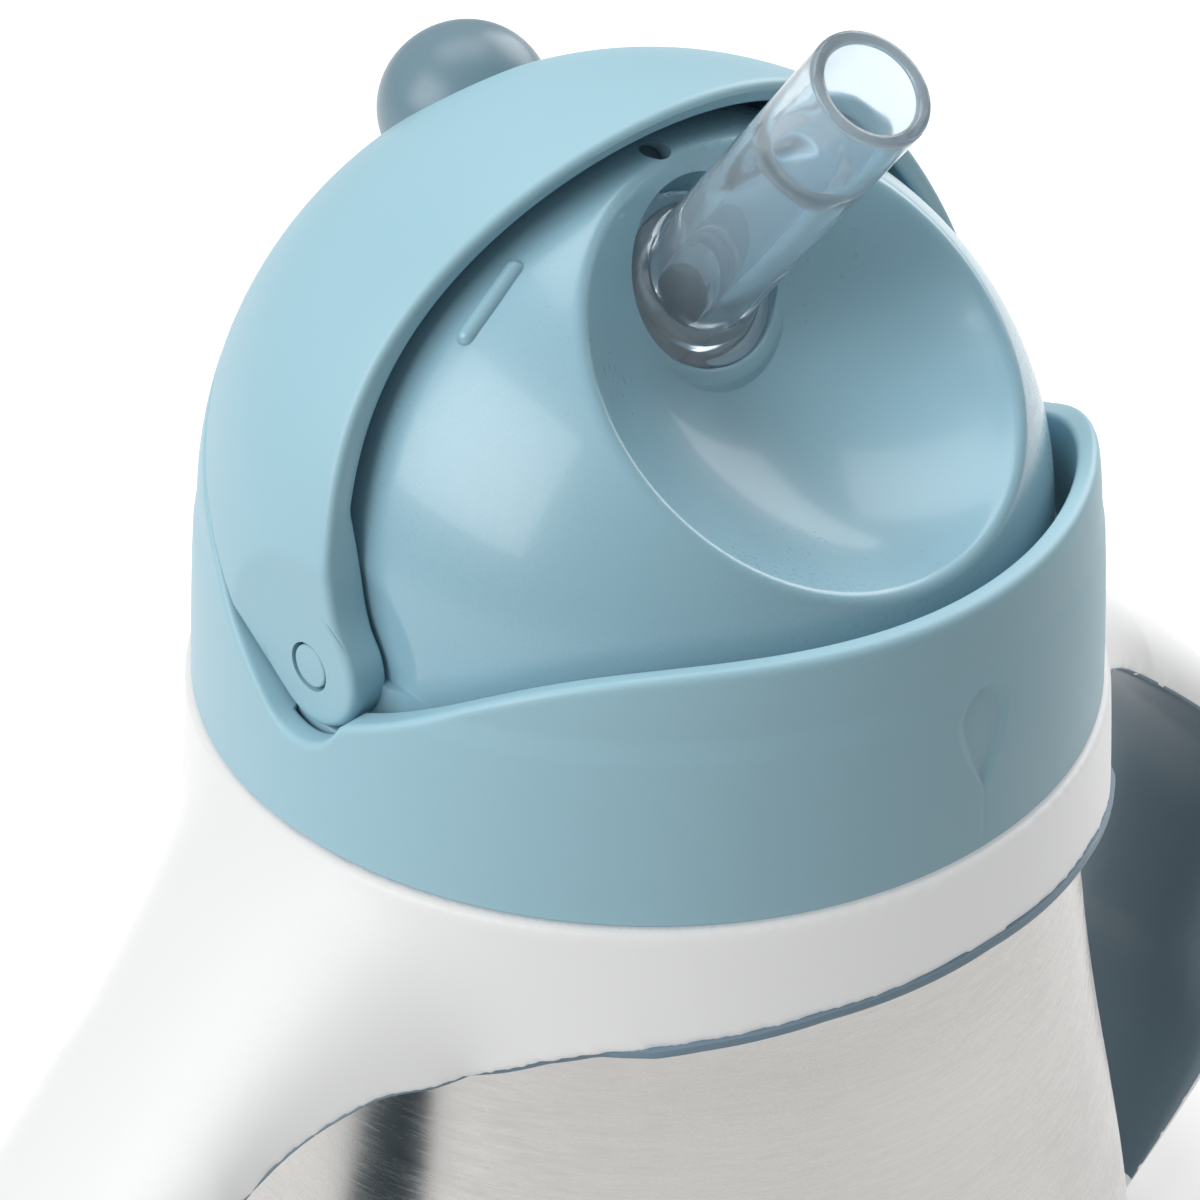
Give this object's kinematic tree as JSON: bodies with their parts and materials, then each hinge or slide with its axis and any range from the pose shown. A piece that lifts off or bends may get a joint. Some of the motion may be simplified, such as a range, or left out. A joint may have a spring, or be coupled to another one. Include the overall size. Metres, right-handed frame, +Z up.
{
  "type": "straw sippy cup",
  "caption": "Insulated steel straw cup for a toddler: screw lid with a turning cover over a soft folding straw, and a ring of side handles with soft grips.",
  "frame": {"origin": "bottom centre of the cup, on the surface that it stands on", "axes": "+Z up; -Y towards the child, the side that the straw leans to; the cover turns about a line along X and the handles stand at -X and +X"},
  "size_m": [0.1482, 0.0838, 0.1388],
  "materials": {
    "brushed_steel": "brushed round the cup, satin",
    "inner_steel": "polished inside",
    "base_steel": "satin",
    "white_plastic": "white, glossy",
    "soft_liner": "soft, satin grey blue",
    "grip_soft": "soft, matte slate blue",
    "lid_plastic": "light blue, fine matte",
    "dome_plastic": "light blue, glossy",
    "cover_plastic": "light blue, fine matte",
    "pin_plastic": "light blue, satin",
    "knob_soft": "grey blue, satin",
    "straw_silicone": "clear, satin silicone",
    "gasket_silicone": "translucent silicone",
    "connector_plastic": "white"
  },
  "bodies": {
    "cup": {"outer_shell": "brushed_steel", "inner_vessel": "inner_steel", "base_plate": "base_steel"},
    "handles": {"handle_shell": "white_plastic", "ring_liner": "soft_liner", "left_grip": "grip_soft", "right_grip": "grip_soft"},
    "lid": {"collar": "lid_plastic", "dome": "dome_plastic", "lid_gasket": "gasket_silicone", "pivot_pin_left": "pin_plastic", "pivot_pin_right": "pin_plastic", "straw_elbow": "straw_silicone", "straw_connector": "connector_plastic", "straw_tube": "straw_silicone", "vent_valve": "straw_silicone"},
    "cover": {"cover": "cover_plastic", "thumb_knob": "knob_soft"},
    "spout": {"straw_spout": "straw_silicone"}
  },
  "joints": [
    {"name": "lid_lift", "type": "slide", "parent": "cup", "child": "lid", "axis": [0, 0, 1], "range_m": [0, 0.12]},
    {"name": "ring_lift", "type": "slide", "parent": "cup", "child": "handles", "axis": [0, 0, 1], "range_m": [0, 0.048]},
    {"name": "cover_turn", "type": "hinge", "parent": "lid", "child": "cover", "pos_m": [0, 0, 0.09615], "axis": [1, 0, 0], "range_deg": [0, 73]},
    {"name": "straw_fold", "type": "hinge", "parent": "lid", "child": "spout", "pos_m": [0, -0.00772, 0.12051], "axis": [1, 0, 0], "range_deg": [0, 90], "deforming": ["straw_spout"]}
  ],
  "couplings": [
    {"joint": "ring_lift", "follows": "lid_lift", "ratio": 0.4},
    {"joint": "straw_fold", "follows": "cover_turn", "ratio": 1.2325}
  ]
}
